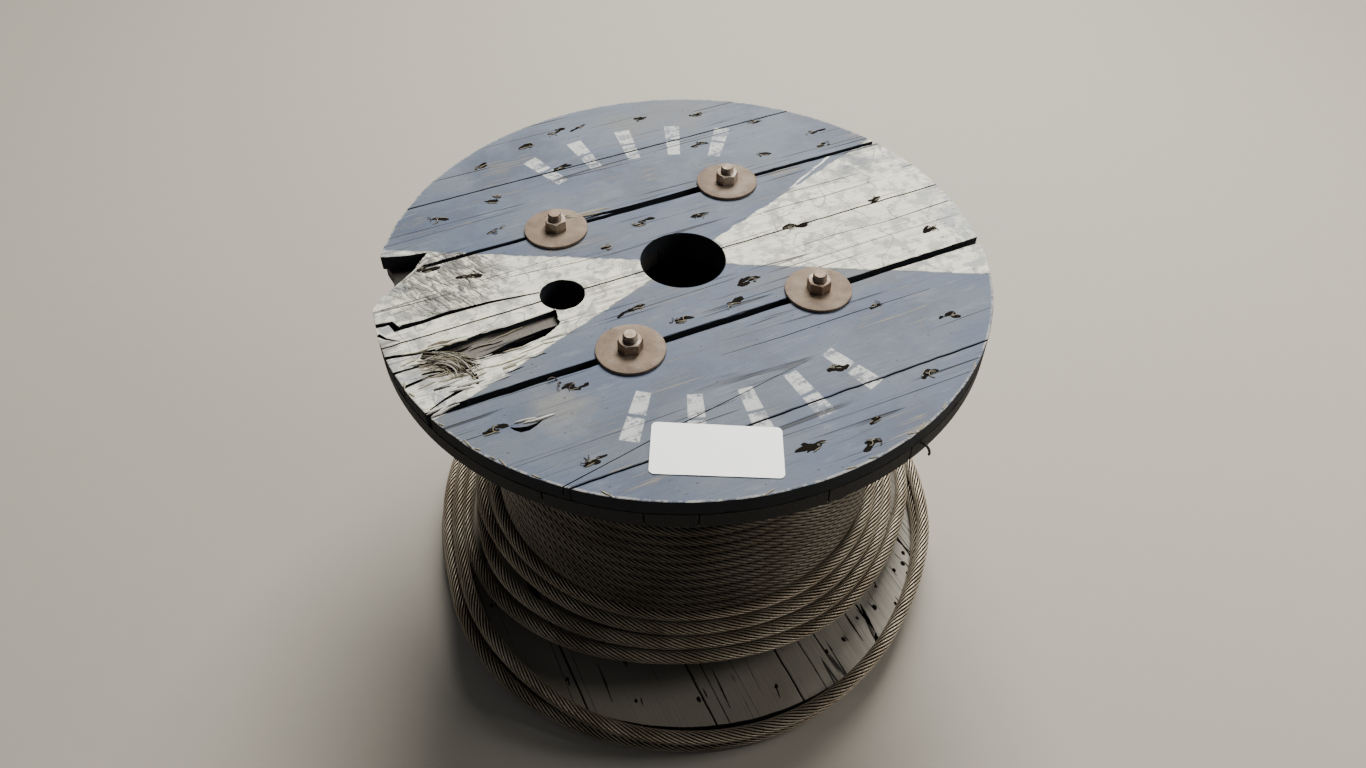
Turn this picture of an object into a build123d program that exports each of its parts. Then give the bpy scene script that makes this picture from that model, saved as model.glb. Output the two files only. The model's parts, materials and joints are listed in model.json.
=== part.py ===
from build123d import *
import os
from math import cos, pi, radians, sin, sqrt, tan

# Wooden cable drum standing on one flange: two flanges of crossed boards, a barrel of staves, four through
# bolts, wire rope wound on the barrel and loose turns of the same rope fallen about it.
# Millimetres. The origin is on the ground under the middle of the drum, +Z runs up the drum's axis.

# Flanges
flange_diameter = 711.0
ply_thickness = 19.0
hub_bore = 100.0
drive_bore = 51.0
drive_wall_clearance = 1.0
drive_hole_angle = 204.5
board_angle = 25.0
board_seam = 1.5
wide_seam_front = 9.0
wide_seam_back = 6.0

# Widths of the outermost boards. The left and right ones belong to the inner plies. Above, the two boards
# left of the drive hole divide what is left between its seam and the rim.
outer_front_board = 93.5
outer_back_board = 123.5
top_right_board = 133.5
bottom_left_board = 105.5
bottom_right_board = 103.5
top_left_share = 0.542

# Places of the other seams, across the run of the boards: from the axis, from the line through two bolts, or
# from the drive hole
outer_middle_seam = 0.0
top_middle_seam = -10.0
bottom_middle_seam = 5.0
top_seam_outside_bolts = 21.0
top_seam_inside_bolts = 23.0
bottom_seam_outside_bolts = 24.0
bottom_seam_inside_bolts = 4.0
drive_seam_clearance = 8.0

# Barrel
traverse = 422.0
barrel_diameter = 390.0
stave_thickness = 19.0
stave_count = 16
stave_gap = 2.5

# Through bolts
bolt_wall_clearance = 5.4
bolt_angle = -20.0
bolt_diameter = 16.0
bolt_clearance = 1.0
bolt_end = 8.0
bolt_chamfer = 1.5
head_diameter = 36.0
head_thickness = 6.0
nut_across_flats = 24.0
nut_height = 13.0
nut_bore_clearance = 0.4
washer_diameter = 76.0
washer_thickness = 4.0
recess_clearance = 1.0
head_ground_clearance = 0.5

# Wire rope
rope_diameter = 17.5
full_layer_count = 3
outer_layer_first_row = 6
groove_depth = 6.5
barrel_fit = 0.3

# Loose turns: their section is a hexagon of the rope's own area, and each lies against its neighbour
seat_gap = 0.4
fall_slope = 42.5
loose_turn_slack = (4.0, 8.0, 11.0, 18.0)
first_turn_inset = 3.8
rim_turn_tilt = 4.0
rim_turn_shift = 1.0
ground_gap = 0.4

# Damage at the end of the top boards that lies to the left of the front. Each point is the distance in from
# the rim's furthest point along the boards, then the distance forward of a seam: the wide back seam for the
# notch and for what the ply beneath has lost, and the middle seam for the splinter.
notch_lost = ((88.0, -23.0), (58.0, -30.0), (35.0, -39.0), (-30.0, -60.0), (-30.0, 58.0), (7.0, 48.0),
              (17.0, 36.0), (28.0, 28.0), (42.0, 18.0), (61.0, 5.0), (75.0, -12.0))
inner_lost = ((-30.0, -56.0), (40.0, -50.0), (44.0, -20.0), (37.0, 8.0), (21.0, 28.0), (-30.0, 50.0))
splinter_lost = ((190.0, 20.0), (136.0, 23.0), (108.0, 21.0), (80.0, 24.0), (38.0, 26.0), (34.0, 33.0),
                 (60.0, 52.0), (96.0, 60.0), (131.0, 60.0), (166.0, 54.0), (186.0, 43.0))
splinter_depth = 7.0

flange_radius = flange_diameter / 2
flange_thickness = 2 * ply_thickness
barrel_radius = barrel_diameter / 2
barrel_inside = barrel_radius - stave_thickness
drive_hole_radius = barrel_inside - drive_bore / 2 - drive_wall_clearance
bolt_circle_radius = barrel_inside - bolt_diameter / 2 - bolt_wall_clearance
row_count = int(traverse // rope_diameter)
top_flange_base = flange_thickness + traverse
top_face = top_flange_base + flange_thickness
bolt_hole_radius = (bolt_diameter + bolt_clearance) / 2
bolt_line = bolt_circle_radius / sqrt(2)
drive_seam = -drive_hole_radius - drive_bore / 2 - drive_seam_clearance
top_inner_seams = (
    top_left_share * (flange_radius + drive_seam) - flange_radius,
    drive_seam,
    -bolt_line - top_seam_outside_bolts,
    top_middle_seam,
    bolt_line - top_seam_inside_bolts,
    flange_radius - top_right_board,
)
bottom_inner_seams = (
    bottom_left_board - flange_radius,
    bottom_seam_inside_bolts - bolt_line,
    bottom_middle_seam,
    bolt_line + bottom_seam_outside_bolts,
    flange_radius - bottom_right_board,
)
recess_depth = head_ground_clearance + head_thickness + washer_thickness
recess_radius = washer_diameter / 2 + recess_clearance
section_apothem = rope_diameter / 2 * sqrt(pi / (2 * sqrt(3)))
section_corner = section_apothem / cos(radians(30))


def bolt_spots():
    """The four bolts stand on a square about the axis."""
    return [Rot(Z=bolt_angle + 90 * quarter) * Pos(bolt_circle_radius, 0) for quarter in range(4)]


def flange_blank(with_drive_hole):
    """A flange's outline with its bores, before it is divided into boards."""
    blank = Circle(flange_radius) - Circle(hub_bore / 2)
    for spot in bolt_spots():
        blank -= spot * Circle(bolt_hole_radius)
    if with_drive_hole:
        blank -= Rot(Z=drive_hole_angle) * Pos(drive_hole_radius, 0) * Circle(drive_bore / 2)
    return blank


def boards(blank, angle, seams, base):
    """Cuts a blank into boards. A seam is its place across the boards and its width."""
    inside = [seam for seam in seams if abs(seam[0]) < flange_radius - seam[1]]
    edges = [(-flange_radius, 0.0), *inside, (flange_radius, 0.0)]
    pieces = []
    for (low, low_gap), (high, high_gap) in zip(edges, edges[1:]):
        start = low + low_gap / 2
        width = high - high_gap / 2 - start
        strip = Rot(Z=angle) * Pos(0, start + width / 2) * Rectangle(flange_diameter, width)
        pieces.append(Pos(0, 0, base) * extrude(blank & strip, ply_thickness))
    return pieces


def outer_seams():
    """The outer boards meet at two wide seams on the lines of the bolts, and at three narrow ones."""
    return [
        (outer_front_board - flange_radius, board_seam),
        (-bolt_line, wide_seam_front),
        (outer_middle_seam, board_seam),
        (bolt_line, wide_seam_back),
        (flange_radius - outer_back_board, board_seam),
    ]


def inner_boards(with_drive_hole, places, base):
    """A ply that runs square to the outer one. The places of its seams are measured towards +X."""
    seams = [(-place, board_seam) for place in reversed(places)]
    return boards(flange_blank(with_drive_hole), board_angle + 90, seams, base)


def damage(points, seam, base, depth):
    """A prism to cut from the worn end of the top boards, in front of a seam."""
    corners = [(inset - flange_radius, seam - forward) for inset, forward in points]
    return Pos(0, 0, base) * (Rot(Z=board_angle) * extrude(make_face(Polyline(*corners, close=True)), depth))


def top_outer_boards():
    """The top face's boards. Two have lost the corners that met at the rim, and one a long splinter."""
    notch = damage(notch_lost, bolt_line, top_face - ply_thickness, ply_thickness)
    lost_splinter = damage(splinter_lost, outer_middle_seam, top_face - splinter_depth, splinter_depth)
    pieces = boards(flange_blank(True), board_angle, outer_seams(), top_face - ply_thickness)
    return [piece - notch - lost_splinter for piece in pieces]


def top_inner_boards():
    """The ply beneath, which is broken off under the notch."""
    lost = damage(inner_lost, bolt_line, top_flange_base, ply_thickness)
    return [piece - lost for piece in inner_boards(True, top_inner_seams, top_flange_base)]


def bottom_outer_boards():
    """The boards on the ground, with a recess round each bolt for its washer and head."""
    pieces = boards(flange_blank(False), board_angle, outer_seams(), 0)
    recesses = [spot * extrude(Circle(recess_radius), recess_depth) for spot in bolt_spots()]
    return [piece - recesses for piece in pieces]


def barrel():
    """Staves that stand in a ring between the flanges."""
    ring = Circle(barrel_radius) - Circle(barrel_inside)
    for number in range(stave_count):
        slot = Rectangle(3 * stave_thickness, stave_gap)
        ring -= Rot(Z=360 / stave_count * number) * Pos(barrel_radius, 0) * slot
    return Pos(0, 0, flange_thickness) * extrude(ring, traverse)


def washer(base):
    return Pos(0, 0, base) * extrude(Circle(washer_diameter / 2) - Circle(bolt_hole_radius), washer_thickness)


def tie_bolt():
    """A flat round head in the lower recess and a shank that stands proud of the nut."""
    shank_top = top_face + washer_thickness + nut_height + bolt_end
    head = Pos(0, 0, head_ground_clearance) * extrude(Circle(head_diameter / 2), head_thickness)
    shank = extrude(Circle(bolt_diameter / 2), shank_top - head_ground_clearance)
    shank = chamfer(shank.edges().sort_by(Axis.Z)[-1], bolt_chamfer)
    return head + Pos(0, 0, head_ground_clearance) * shank


def nut():
    """A hexagon nut with its corners turned off at the top."""
    flat_radius = nut_across_flats / 2
    base_radius = flat_radius + nut_height / tan(radians(30))
    turned = Cone(base_radius, flat_radius, nut_height, align=(Align.CENTER, Align.CENTER, Align.MIN))
    body = extrude(RegularPolygon(flat_radius / cos(radians(30)), 6), nut_height) & turned
    body -= extrude(Circle((bolt_diameter + nut_bore_clearance) / 2), nut_height)
    return Pos(0, 0, top_face + washer_thickness) * body


def layer_radius(layer):
    """Outer radius of a layer of rope. Each layer beds in the grooves of the one beneath."""
    return barrel_radius + rope_diameter + layer * rope_diameter * sin(radians(60))


def wound_rope():
    """The rope on the barrel, one turned solid with a ridge for each row. The outer layer stops short."""
    ridges = []
    for row in range(row_count):
        layer = full_layer_count if row >= outer_layer_first_row else full_layer_count - 1
        low = flange_thickness + row * rope_diameter
        ridges.append((layer_radius(layer) - groove_depth, low))
        ridges.append((layer_radius(layer), low + rope_diameter / 2))
        ridges.append((layer_radius(layer) - groove_depth, low + rope_diameter))
    bore = barrel_radius + barrel_fit
    outline = [(bore, flange_thickness)]
    for point in ridges:
        if point != outline[-1]:
            outline.append(point)
    outline.append((bore, flange_thickness + row_count * rope_diameter))
    return revolve(Plane.XZ * make_face(Polyline(*outline, close=True)), Axis.Z)


def loose_ring(radius):
    """One loose turn of rope, flat about the origin."""
    section = Plane.XZ * Pos(radius, 0) * RegularPolygon(section_corner, 6)
    return revolve(section, Axis.Z)


def fallen_turns():
    """Turns that have slipped off the outer layer. At the front each lies on the one outside it."""
    step = (2 * section_apothem + seat_gap) / cos(radians(fall_slope - 30))
    front = layer_radius(full_layer_count) - first_turn_inset
    height = flange_thickness + outer_layer_first_row * rope_diameter - section_apothem - seat_gap
    turns = []
    for number, slack in enumerate(loose_turn_slack):
        reach = front + number * step * cos(radians(fall_slope)) + slack
        level = height - number * step * sin(radians(fall_slope))
        turns.append(Pos(0, slack, level) * loose_ring(reach))
    return turns


def rim_turns():
    """Two turns that have fallen over the lower flange's rim at the front and lean back up behind."""
    radius = flange_radius + section_corner + seat_gap
    level = section_apothem + ground_gap + radius * sin(radians(rim_turn_tilt))
    lift = 2 * section_apothem + seat_gap
    turns = []
    for number in range(2):
        turn = Rot(X=rim_turn_tilt) * Pos(0, 0, number * lift) * loose_ring(radius)
        turns.append(Pos(0, -rim_turn_shift, level) * turn)
    return turns


def save(name, shape):
    shape.label = name
    export_step(shape, os.path.join("parts", name + ".step"))


def save_each(name, shapes):
    for number, shape in enumerate(shapes, 1):
        save(f"{name}_{number}", shape)


os.makedirs("parts", exist_ok=True)
save_each("top_outer_board", top_outer_boards())
save_each("top_inner_board", top_inner_boards())
save_each("bottom_inner_board", inner_boards(False, bottom_inner_seams, ply_thickness))
save_each("bottom_outer_board", bottom_outer_boards())
save("barrel_staves", barrel())
save_each("tie_bolt", [spot * tie_bolt() for spot in bolt_spots()])
save_each("nut", [spot * nut() for spot in bolt_spots()])
save_each("top_washer", [spot * washer(top_face) for spot in bolt_spots()])
save_each("bottom_washer", [spot * washer(head_ground_clearance + head_thickness) for spot in bolt_spots()])
save("wound_rope", wound_rope())
save_each("loose_turn", [*fallen_turns(), *rim_turns()])
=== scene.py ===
import bmesh
import bpy
import json
import math
import random
from mathutils import Matrix, Vector, noise
from types import SimpleNamespace

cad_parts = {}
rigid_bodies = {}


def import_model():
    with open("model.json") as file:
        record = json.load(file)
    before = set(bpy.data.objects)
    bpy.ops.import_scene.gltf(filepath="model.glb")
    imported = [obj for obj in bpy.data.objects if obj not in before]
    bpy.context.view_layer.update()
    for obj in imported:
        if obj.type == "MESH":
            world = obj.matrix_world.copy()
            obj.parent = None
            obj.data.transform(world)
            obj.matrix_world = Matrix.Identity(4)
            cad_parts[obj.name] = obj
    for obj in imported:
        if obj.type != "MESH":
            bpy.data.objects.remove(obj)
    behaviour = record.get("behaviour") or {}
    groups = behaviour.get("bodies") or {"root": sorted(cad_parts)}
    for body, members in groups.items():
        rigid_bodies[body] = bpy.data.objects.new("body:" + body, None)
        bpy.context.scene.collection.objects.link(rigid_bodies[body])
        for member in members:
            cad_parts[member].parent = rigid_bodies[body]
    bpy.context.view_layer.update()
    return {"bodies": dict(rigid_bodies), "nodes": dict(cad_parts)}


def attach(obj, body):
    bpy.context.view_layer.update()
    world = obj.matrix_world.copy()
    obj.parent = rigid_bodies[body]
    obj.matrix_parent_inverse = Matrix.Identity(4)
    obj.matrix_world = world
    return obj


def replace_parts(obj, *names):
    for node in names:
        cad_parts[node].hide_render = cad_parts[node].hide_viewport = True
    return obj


# A wooden cable drum standing on one flange. Metres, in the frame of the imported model.
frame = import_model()
body = next(iter(frame["bodies"]))
chance = random.Random(7)
# Blender's noise vectors start from the clock unless they are given a seed.
noise.seed_set(7)

board_angle = math.radians(25)
flange_radius = 0.3555
top_face = 0.498
lower_face = 0.038
bolt_circle = 0.1626
bolt_turns = [math.radians(-20 + 90 * quarter) for quarter in range(4)]
bolt_spots = [Vector((bolt_circle * math.cos(turn), bolt_circle * math.sin(turn), 0)) for turn in bolt_turns]
rope_diameter = 0.0175
strand_count = 12
lay_length = 0.115
pack_rows = 24
pack_radius = 0.2492

# The camera stands in front of the drum and looks down on it
lens = bpy.data.cameras.new("camera")
lens.lens = 27.04
lens.sensor_width = 36
camera = bpy.data.objects.new("camera", lens)
camera.location = (0, -0.936, 1.2606)
camera.rotation_euler = (math.radians(90 - 46.1), 0, 0)
bpy.context.collection.objects.link(camera)
bpy.context.scene.camera = camera


class Value:
    """A socket of a finish. Arithmetic on it adds Math nodes."""

    def __init__(self, finish, socket):
        self.finish = finish
        self.socket = socket

    def maths(self, operation, *values, **settings):
        slots = dict(enumerate(values))
        return self.finish.add("ShaderNodeMath", {"operation": operation, **settings}, slots)

    def __add__(self, other):
        return self.maths("ADD", self, other)

    __radd__ = __add__

    def __sub__(self, other):
        return self.maths("SUBTRACT", self, other)

    def __rsub__(self, other):
        return self.maths("SUBTRACT", other, self)

    def __mul__(self, other):
        return self.maths("MULTIPLY", self, other)

    __rmul__ = __mul__

    def __truediv__(self, other):
        return self.maths("DIVIDE", self, other)

    def __pow__(self, other):
        return self.maths("POWER", self, other)

    def __abs__(self):
        return self.maths("ABSOLUTE", self)

    def above(self, edge, soft):
        """1 where the value is over the edge, 0 under it, with a soft step between."""
        settings = {"interpolation_type": "SMOOTHSTEP"}
        slots = {"Value": self, "From Min": edge - soft, "From Max": edge + soft}
        return self.finish.add("ShaderNodeMapRange", settings, slots)

    def close_to(self, middle, reach, soft):
        """1 where the value is within reach of the middle, with a soft step down to 0."""
        return 1 - abs(self - middle).above(reach, soft)

    def wave(self):
        """A cosine from 0 to 1, highest at whole numbers."""
        return self.maths("COSINE", self * (2 * math.pi)) * 0.5 + 0.5


class Finish:
    """A material being mixed."""

    def __init__(self, name):
        self.material = bpy.data.materials.new(name)
        self.material.use_nodes = True
        self.tree = self.material.node_tree
        self.shader = self.tree.nodes["Principled BSDF"]
        self.place = self.add("ShaderNodeTexCoord", out="Object")

    def add(self, kind, settings=None, slots=None, out=0):
        node = self.tree.nodes.new(kind)
        for name, setting in (settings or {}).items():
            setattr(node, name, setting)
        for slot, value in (slots or {}).items():
            self.feed(node.inputs[slot], value)
        return Value(self, node.outputs[out])

    def feed(self, socket, value):
        if isinstance(value, Value):
            self.tree.links.new(value.socket, socket)
        elif socket.type == "RGBA":
            socket.default_value = (*value, 1.0)
        else:
            socket.default_value = value

    def along(self, turn, stretch):
        """Object coordinates turned to run along a board, and stretched."""
        slots = {"Vector": self.place, "Rotation": (0, 0, turn), "Scale": [1 / value for value in stretch]}
        return self.add("ShaderNodeMapping", {"vector_type": "TEXTURE"}, slots)

    def noise(self, vector, scale=1.0, detail=3.0, roughness=0.55, distortion=0.0):
        slots = {"Vector": vector, "Scale": scale, "Detail": detail, "Roughness": roughness,
                 "Distortion": distortion}
        return self.add("ShaderNodeTexNoise", None, slots)

    def spots(self, vector):
        return self.add("ShaderNodeTexVoronoi", None, {"Vector": vector, "Scale": 1.0})

    def axis(self, vector, letter):
        return self.add("ShaderNodeSeparateXYZ", None, {0: vector}, letter)

    def mix(self, first, second, share):
        return self.add("ShaderNodeMix", {"data_type": "RGBA"}, {0: share, 6: first, 7: second}, 2)

    def coats(self, colour, *coats):
        """Lays coats over a colour in turn. Each is a colour and the share of it that shows."""
        for coat, share in coats:
            colour = self.mix(colour, coat, share)
        return colour

    def facing_up(self):
        return self.axis(self.add("ShaderNodeNewGeometry", out="Normal"), "Z").above(0.6, 0.15)

    def done(self, colour, roughness, height, depth, metallic=0.0, shine=0.5):
        """Joins the mix to the shader. The height, from 0 to 1, is worth the depth in metres."""
        bump = self.add("ShaderNodeBump", None, {"Strength": 1.0, "Distance": depth, "Height": height})
        self.feed(self.shader.inputs["Base Color"], colour)
        self.feed(self.shader.inputs["Roughness"], roughness)
        self.feed(self.shader.inputs["Metallic"], metallic)
        self.feed(self.shader.inputs["Specular IOR Level"], shine)
        self.feed(self.shader.inputs["Normal"], bump)
        return self.material


def tint(colour, share):
    return [channel * share for channel in colour]


def grain(f, turn, rarity=0.56):
    """The streaks of a board that runs along the given direction, and its drying checks."""
    broad = f.noise(f.along(turn, (2.5, 34.0, 30.0)), detail=3)
    fine = f.noise(f.along(turn, (7.0, 520.0, 300.0)), detail=4, roughness=0.65)
    drift = f.noise(f.along(turn, (1.1, 62.0, 20.0)), detail=0.6, roughness=0.4)
    where = f.noise(f.along(turn, (4.0, 26.0, 20.0)), detail=2)
    checks = drift.close_to(0.5, 0.010, 0.006) * where.above(rarity, 0.05)
    return broad, fine, checks


def near(p, x, y, reach, soft):
    """1 within reach of a point on the painted face, with a soft and uneven edge."""
    gap = ((p.x - x) * (p.x - x) + (p.y - y) * (p.y - y)) ** 0.5
    return 1 - (gap + p.wobble * 4).above(reach, soft)


def face_patterns(f):
    """Where the painted face is, and what wears it: grain, noises, its two wedges and its torn end."""
    p = SimpleNamespace()
    p.broad, p.fine, p.checks = grain(f, board_angle)
    p.x, p.y, p.z = [f.axis(f.place, letter) for letter in "XYZ"]
    p.radius = (p.x * p.x + p.y * p.y) ** 0.5
    p.cloud = f.noise(f.place, 9, 4, 0.6)
    p.patch = f.noise(f.place, 5.5, 2, 0.5)
    p.grit = f.noise(f.place, 260, 4, 0.7)
    p.mottle = f.noise(f.place, 48, 6, 0.68)
    p.scribble = f.noise(f.place, 19, 1, 0.5, 0.5)
    p.wobble = (f.noise(f.place, 60, 3) - 0.5) * 0.010
    p.scuff = f.noise(f.along(board_angle, (16, 70, 20)), detail=6, roughness=0.7)
    p.scratch = f.noise(f.along(board_angle + 0.1, (10, 420, 60)), detail=2, roughness=0.5)
    p.stain = f.noise(f.along(board_angle, (6, 11, 8)), detail=5, roughness=0.6)
    p.ripple = f.noise(f.along(board_angle + 0.45, (150, 42, 30)), 1, 3, 0.6, 0.7)
    p.wrinkle = f.noise(f.along(board_angle - 0.1, (20, 120, 60)), 1, 4, 0.6, 0.7)
    p.specks = f.spots(f.along(board_angle, (75, 150, 100)))

    right = (1.02 * p.x - p.y + p.wobble).above(0, 0.0016)
    over = (p.y + 0.062 * p.x + 0.005 + p.wobble).above(0, 0.0016)
    p.wedge = right * over + (1 - right) * (1 - over)
    upper_side = (p.y - 0.322 * p.x).above(-0.007, 0.003)
    p.torn = (p.wobble * 3 - p.x).above(0.19, 0.05) * p.wedge * (upper_side * 0.6 + 0.4)
    p.creased = near(p, -0.266, -0.032, 0.060, 0.026) * p.torn
    return p


def blue_paint(f, p):
    """Blue-grey paint, stained and scratched, paler towards the back as a painted sheen."""
    specks = (1 - p.specks.above(0.13, 0.04)) * p.mottle.above(0.54, 0.03)
    return f.coats(
        f.mix((0.066, 0.092, 0.156), (0.102, 0.128, 0.184), p.broad),
        ((0.130, 0.150, 0.175), p.stain.above(0.52, 0.10) * 0.6),
        # Painted sheen: the paint turns paler towards the back of the face.
        ((0.175, 0.20, 0.235), p.y.above(0.16, 0.16) * 0.4),
        ((0.19, 0.21, 0.25), p.scuff.above(0.60, 0.07) * 0.45),
        ((0.050, 0.066, 0.104), p.cloud.above(0.56, 0.09) * 0.6),
        ((0.165, 0.155, 0.130), p.patch.above(0.61, 0.07) * 0.5),
        ((0.23, 0.22, 0.19), near(p, -0.125, -0.236, 0.026, 0.020) * 0.6),
        ((0.045, 0.054, 0.075), p.fine.above(0.63, 0.06) * 0.6),
        ((0.34, 0.36, 0.40), p.scratch.above(0.73, 0.03) * p.grit * 0.7),
        ((0.055, 0.063, 0.08), p.grit.above(0.65, 0.04) * 0.5),
        ((0.025, 0.028, 0.034), specks * 0.8))


def white_paint(f, p, blue):
    """Off-white paint: mottled, greyer at the rim, creased and torn at its splintered end, with painted shade
    in the creases.
    """
    rim = p.radius.above(0.318, 0.022) * (p.mottle * 0.5 + p.stain * 0.5).above(0.49, 0.05)
    thin = near(p, 0.212, 0.197, 0.030, 0.022) * p.mottle.above(0.42, 0.08)
    specks = (1 - p.specks.above(0.15, 0.05)) * p.mottle.above(0.50, 0.03)
    lines = p.scribble.close_to(0.5, 0.010, 0.007) * p.grit.above(0.42, 0.06)
    broken = p.mottle.above(0.46, 0.08)
    return f.coats(
        f.mix((0.90, 0.87, 0.71), (0.62, 0.60, 0.50), p.fine.above(0.52, 0.16)),
        ((0.27, 0.275, 0.255), p.mottle.above(0.53, 0.05) * (0.25 + p.cloud * 0.9)),
        ((0.33, 0.36, 0.39), rim * 0.7),
        (blue, thin * 0.7),
        ((0.42, 0.41, 0.37), p.scuff.above(0.60, 0.05) * 0.6),
        ((0.27, 0.26, 0.225), p.grit.above(0.64, 0.05) * 0.6),
        ((0.13, 0.125, 0.105), specks * 0.85),
        ((0.27, 0.285, 0.30), lines * 0.85),
        # Painted shade: dark bands and lines along the ripples of the creased end.
        ((0.125, 0.123, 0.114), p.creased * p.ripple.above(0.51, 0.05) * 0.8),
        ((0.10, 0.098, 0.09), p.ripple.close_to(0.5, 0.030, 0.022) * p.creased * broken * 0.7),
        ((0.26, 0.25, 0.22), p.wrinkle.close_to(0.5, 0.020, 0.018) * p.torn * broken * 0.7))


def faded_bars(p):
    """Two bent rows of bars, before and behind the hub, each bar crossed by a thin gap and rubbed."""
    middle = 0.251
    turn = p.x.maths("ARCTAN2", p.y, p.x) / math.pi + (73 / 180 + 0.5)
    turn = turn.maths("FRACT", turn) - 0.5
    bars = turn.maths("FRACT", turn * 13 + 0.5).close_to(0.5, 0.15, 0.010)
    rows = turn.close_to(0, 0.2, 0.001) * p.radius.close_to(middle, 0.034, 0.0008)
    gap = p.radius.close_to(middle, 0.0022, 0.0008)
    rubbed = (p.scuff * 0.6 + p.grit * 0.4).above(0.52, 0.05)
    return bars * rows * (1 - gap) * (1 - rubbed * 0.9)


def painted_finish(name):
    """Weathered blue-grey paint with two off-white wedges that meet at the hub; sides and recesses darkened
    as painted shade.
    """
    f = Finish(name)
    p = face_patterns(f)
    blue = blue_paint(f, p)
    bars = faded_bars(p)
    wood = f.mix((0.100, 0.083, 0.064), (0.30, 0.265, 0.21), p.fine * 0.6 + p.broad * 0.45)
    # Split wood in the sunk pocket and shallow recesses: the wood's own colour, darkened as painted shade.
    pit_wood_and_shade = f.mix((0.055, 0.048, 0.040), (0.185, 0.165, 0.138), p.fine * 0.7 + p.broad * 0.35)
    tone = f.add("ShaderNodeAttribute", {"attribute_name": "tone"}, out="Fac")
    worn = (p.fine * 0.5 + p.cloud * 0.5 + tone).above(0.615, 0.03)
    worn = worn + near(p, -0.262, -0.176, 0.020, 0.018) * (p.fine * 0.5 + p.grit * 0.5).above(0.47, 0.04)
    streak = (p.y - 1.270 * p.x + 0.0308 + p.wobble * 0.8).close_to(0, 0.0018, 0.0010)
    streak = streak * p.x.close_to(0.1645, 0.0285, 0.004) * p.grit.above(0.42, 0.06)
    rim = p.radius.above(0.3526, 0.0010) * (p.scuff * 0.5 + p.grit * 0.5).above(0.49, 0.05)
    face = f.coats(
        f.mix(blue, white_paint(f, p, blue), p.wedge),
        ((0.86, 0.85, 0.76), streak),
        ((0.62, 0.63, 0.61), bars * 0.8),
        ((0.46, 0.445, 0.40), rim * 0.7),
        (wood, worn * 0.85),
        # More than 2 mm below the face: split wood darkened as painted shade.
        (pit_wood_and_shade, 1 - p.z.above(top_face - 0.0022, 0.0004)),
        ((0.020, 0.021, 0.024), p.checks * 0.9),
        # Painted shade: everything more than 9 mm below the face, deep in cracks and seams, is near-black.
        ((0.010, 0.009, 0.008), 1 - p.z.above(top_face - 0.0092, 0.0012)))
    # Painted shade: the sides of the boards (rim and seam walls) are near-black, while the top faces keep the
    # paint.
    side = f.mix((0.007, 0.011, 0.019), (0.024, 0.025, 0.027), p.fine)
    up = f.facing_up()
    height = (p.fine * 0.4 + p.broad * 0.25 - p.checks * 1.2 + p.scuff * 0.35 + p.grit * 0.25
              + p.mottle * p.wedge * 1.3 + p.ripple * p.creased * 9.0 + p.wrinkle * p.torn * 3.5
              + p.wedge * 0.12 + bars * 0.08)
    roughness = 0.86 - up * (0.24 + 0.08 * p.cloud + 0.24 * p.torn)
    return f.done(f.mix(side, face, up), roughness, height, 0.0010, shine=0.3)


def bare_finish(name, turn, light=(0.46, 0.43, 0.37), dark=(0.21, 0.185, 0.15)):
    """Unpainted weathered boards, painted lighter at the right as painted light, darker elsewhere and on
    their sides as painted shade.
    """
    f = Finish(name)
    broad, fine, checks = grain(f, turn, 0.52)
    cloud = f.noise(f.place, 7, 4, 0.6)
    up = f.facing_up()
    # Painted light and shade: lighter at the right as if lit, darker elsewhere as if shaded.
    painted_sunlit = f.axis(f.place, "X").above(0.20, 0.09)
    knots = 1 - f.spots(f.along(turn, (9, 26, 9))).above(0.09, 0.03)
    face = f.coats(
        f.mix(dark, light, fine * 0.55 + broad * 0.6 - 0.05),
        ((0.12, 0.11, 0.095), cloud.above(0.60, 0.10) * 0.6),
        (dark, (1 - painted_sunlit) * 0.8),
        (tint(light, 1.15), painted_sunlit * fine.above(0.42, 0.2) * 0.7),
        ((0.022, 0.018, 0.014), knots * up * 0.85),
        ((0.014, 0.012, 0.010), checks * up * 0.9))
    # Painted shade: the sides of the boards are near-black.
    side = f.mix((0.012, 0.013, 0.016), (0.042, 0.038, 0.034), fine)
    height = fine * 0.5 + broad * 0.4 - (checks * 1.3 + knots * 0.6) * up
    return f.done(f.mix(side, face, up), 0.82 - 0.12 * fine, height, 0.0010, shine=0.25)


def stave_finish(name):
    """Dark sawn wood, streaked up and down."""
    f = Finish(name)
    streak = f.noise(f.along(0, (260, 260, 5)), detail=4)
    return f.done(f.mix((0.09, 0.07, 0.05), (0.25, 0.20, 0.14), streak), 0.8, streak, 0.0008)


def rust_finish(name, light, dark, edge, metal=0.25):
    """Rusty steel, rubbed brighter in places."""
    f = Finish(name)
    cloud = f.noise(f.place, 55, 6, 0.65)
    grit = f.noise(f.place, 900, 3, 0.6)
    blotch = f.noise(f.place, 24, 4, 0.6)
    base = f.coats(
        f.mix(dark, light, cloud.above(0.48, 0.16)),
        (edge, blotch.above(0.56, 0.08) * 0.6),
        (tint(dark, 0.35), grit.above(0.62, 0.06) * 0.6))
    return f.done(base, 0.62 - 0.4 * metal + 0.3 * cloud, grit * 0.5 + cloud * 0.6, 0.0005, metal)


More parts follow.
